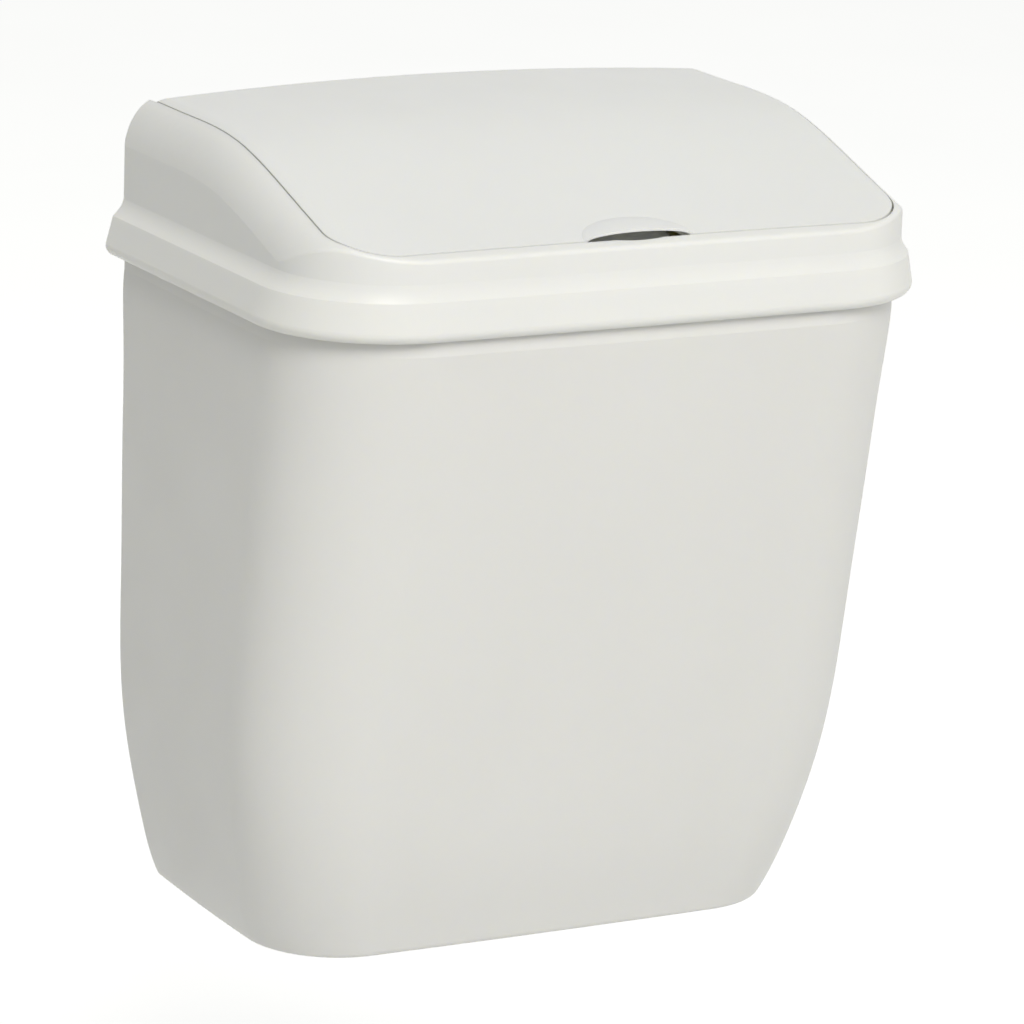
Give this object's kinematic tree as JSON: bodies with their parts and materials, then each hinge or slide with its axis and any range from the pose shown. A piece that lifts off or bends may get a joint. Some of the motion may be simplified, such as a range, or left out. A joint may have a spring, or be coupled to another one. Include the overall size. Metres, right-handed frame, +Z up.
{
  "type": "wall-mounted trash can",
  "caption": "Wall-hung waste bin with a tapering tub, a drop-on hood, a bag ring and a sloping lift-up flap with a finger grip.",
  "frame": {"origin": "middle of the wall plate's four screw holes, on the wall's plane", "axes": "+X to the right seen from the room, +Y into the wall, +Z up"},
  "size_m": [0.2984, 0.2032, 0.347],
  "materials": {
    "tub": "smooth satin moulded white plastic",
    "hood": "smooth satin moulded white plastic",
    "flap": "smooth satin moulded white plastic",
    "bag_ring": "matte light grey plastic",
    "wall_plate": "matte light grey plastic",
    "hinge_pin": "plain drawn steel rod",
    "flap_buffer": "soft grey rubber",
    "wall_buffer": "soft grey rubber"
  },
  "bodies": {
    "wall_plate": {"wall_plate": "wall_plate"},
    "tub": {"tub": "tub", "wall_buffer_left": "wall_buffer", "wall_buffer_right": "wall_buffer"},
    "bag_ring": {"bag_ring": "bag_ring"},
    "hood": {"hood": "hood", "hinge_pin_left": "hinge_pin", "hinge_pin_right": "hinge_pin", "flap_buffer_left": "flap_buffer", "flap_buffer_right": "flap_buffer"},
    "flap": {"flap": "flap"}
  },
  "joints": [
    {"name": "tub_lift", "type": "slide", "parent": "wall_plate", "child": "tub", "axis": [0, 0, 1], "range_m": [0, 0.015]},
    {"name": "ring_lift", "type": "slide", "parent": "tub", "child": "bag_ring", "axis": [0, 0, 1], "range_m": [0, 0.03]},
    {"name": "hood_lift", "type": "slide", "parent": "bag_ring", "child": "hood", "axis": [0, 0, 1], "range_m": [0, 0.05]},
    {"name": "flap_hinge", "type": "hinge", "parent": "hood", "child": "flap", "pos_m": [0, -0.0165, 0.1027], "axis": [-1, 0, 0], "range_deg": [0, 85]}
  ]
}
